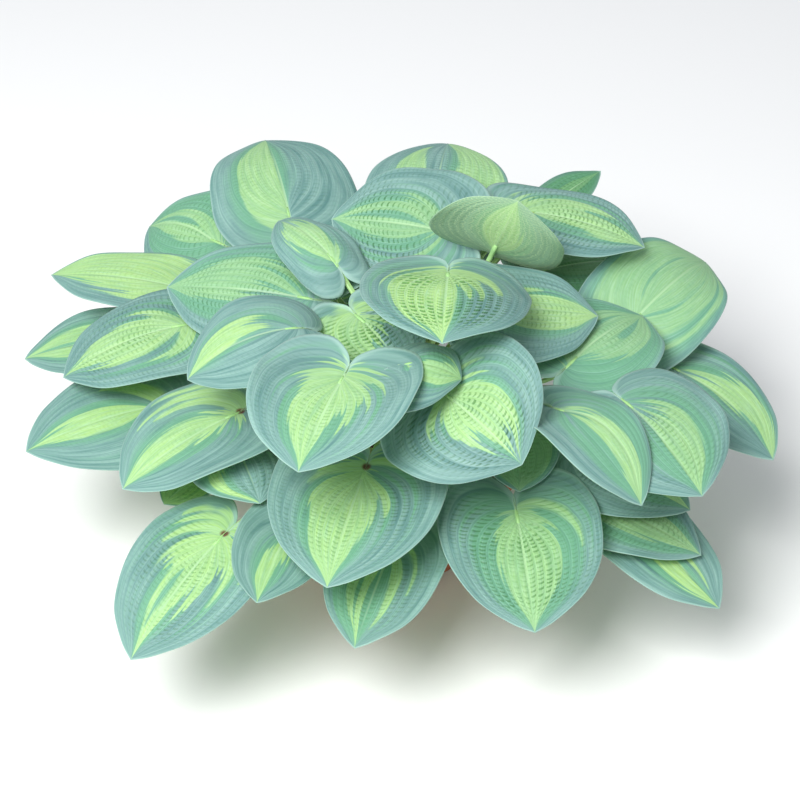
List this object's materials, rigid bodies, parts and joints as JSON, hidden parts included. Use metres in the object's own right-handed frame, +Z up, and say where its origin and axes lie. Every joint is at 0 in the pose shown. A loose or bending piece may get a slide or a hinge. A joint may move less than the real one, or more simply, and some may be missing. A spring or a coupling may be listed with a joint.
{
  "type": "potted hosta plant",
  "caption": "Wide clump of heart-shaped, blue-green and lime variegated hosta leaves on arching stalks, growing in a low round terracotta pot.",
  "frame": {"origin": "middle of the pot's flat base, on the surface that it stands on", "axes": "+Z up, +X to the right of the pictured clump, -Y towards its front"},
  "size_m": [0.6949, 0.6013, 0.3433],
  "materials": {
    "terracotta": "matte",
    "potting_soil": "matte",
    "hosta_leaf": "satin"
  },
  "bodies": {
    "root": {"pot": "terracotta", "soil": "potting_soil", "leaf_01": "hosta_leaf", "leaf_02": "hosta_leaf", "leaf_03": "hosta_leaf", "leaf_04": "hosta_leaf", "leaf_05": "hosta_leaf", "leaf_06": "hosta_leaf", "leaf_07": "hosta_leaf", "leaf_08": "hosta_leaf", "leaf_09": "hosta_leaf", "leaf_10": "hosta_leaf", "leaf_11": "hosta_leaf", "leaf_12": "hosta_leaf", "leaf_13": "hosta_leaf", "leaf_14": "hosta_leaf", "leaf_15": "hosta_leaf", "leaf_16": "hosta_leaf", "leaf_17": "hosta_leaf", "leaf_18": "hosta_leaf", "leaf_19": "hosta_leaf", "leaf_20": "hosta_leaf", "leaf_21": "hosta_leaf", "leaf_22": "hosta_leaf", "leaf_23": "hosta_leaf", "leaf_24": "hosta_leaf", "leaf_25": "hosta_leaf", "leaf_26": "hosta_leaf", "leaf_27": "hosta_leaf", "leaf_28": "hosta_leaf", "leaf_29": "hosta_leaf", "leaf_30": "hosta_leaf", "leaf_31": "hosta_leaf", "leaf_32": "hosta_leaf", "leaf_33": "hosta_leaf", "leaf_34": "hosta_leaf", "leaf_35": "hosta_leaf", "leaf_36": "hosta_leaf", "leaf_37": "hosta_leaf", "leaf_38": "hosta_leaf", "leaf_39": "hosta_leaf", "leaf_40": "hosta_leaf", "leaf_41": "hosta_leaf", "leaf_42": "hosta_leaf", "leaf_43": "hosta_leaf", "leaf_44": "hosta_leaf", "leaf_45": "hosta_leaf", "leaf_46": "hosta_leaf", "leaf_47": "hosta_leaf"}
  },
  "joints": []
}
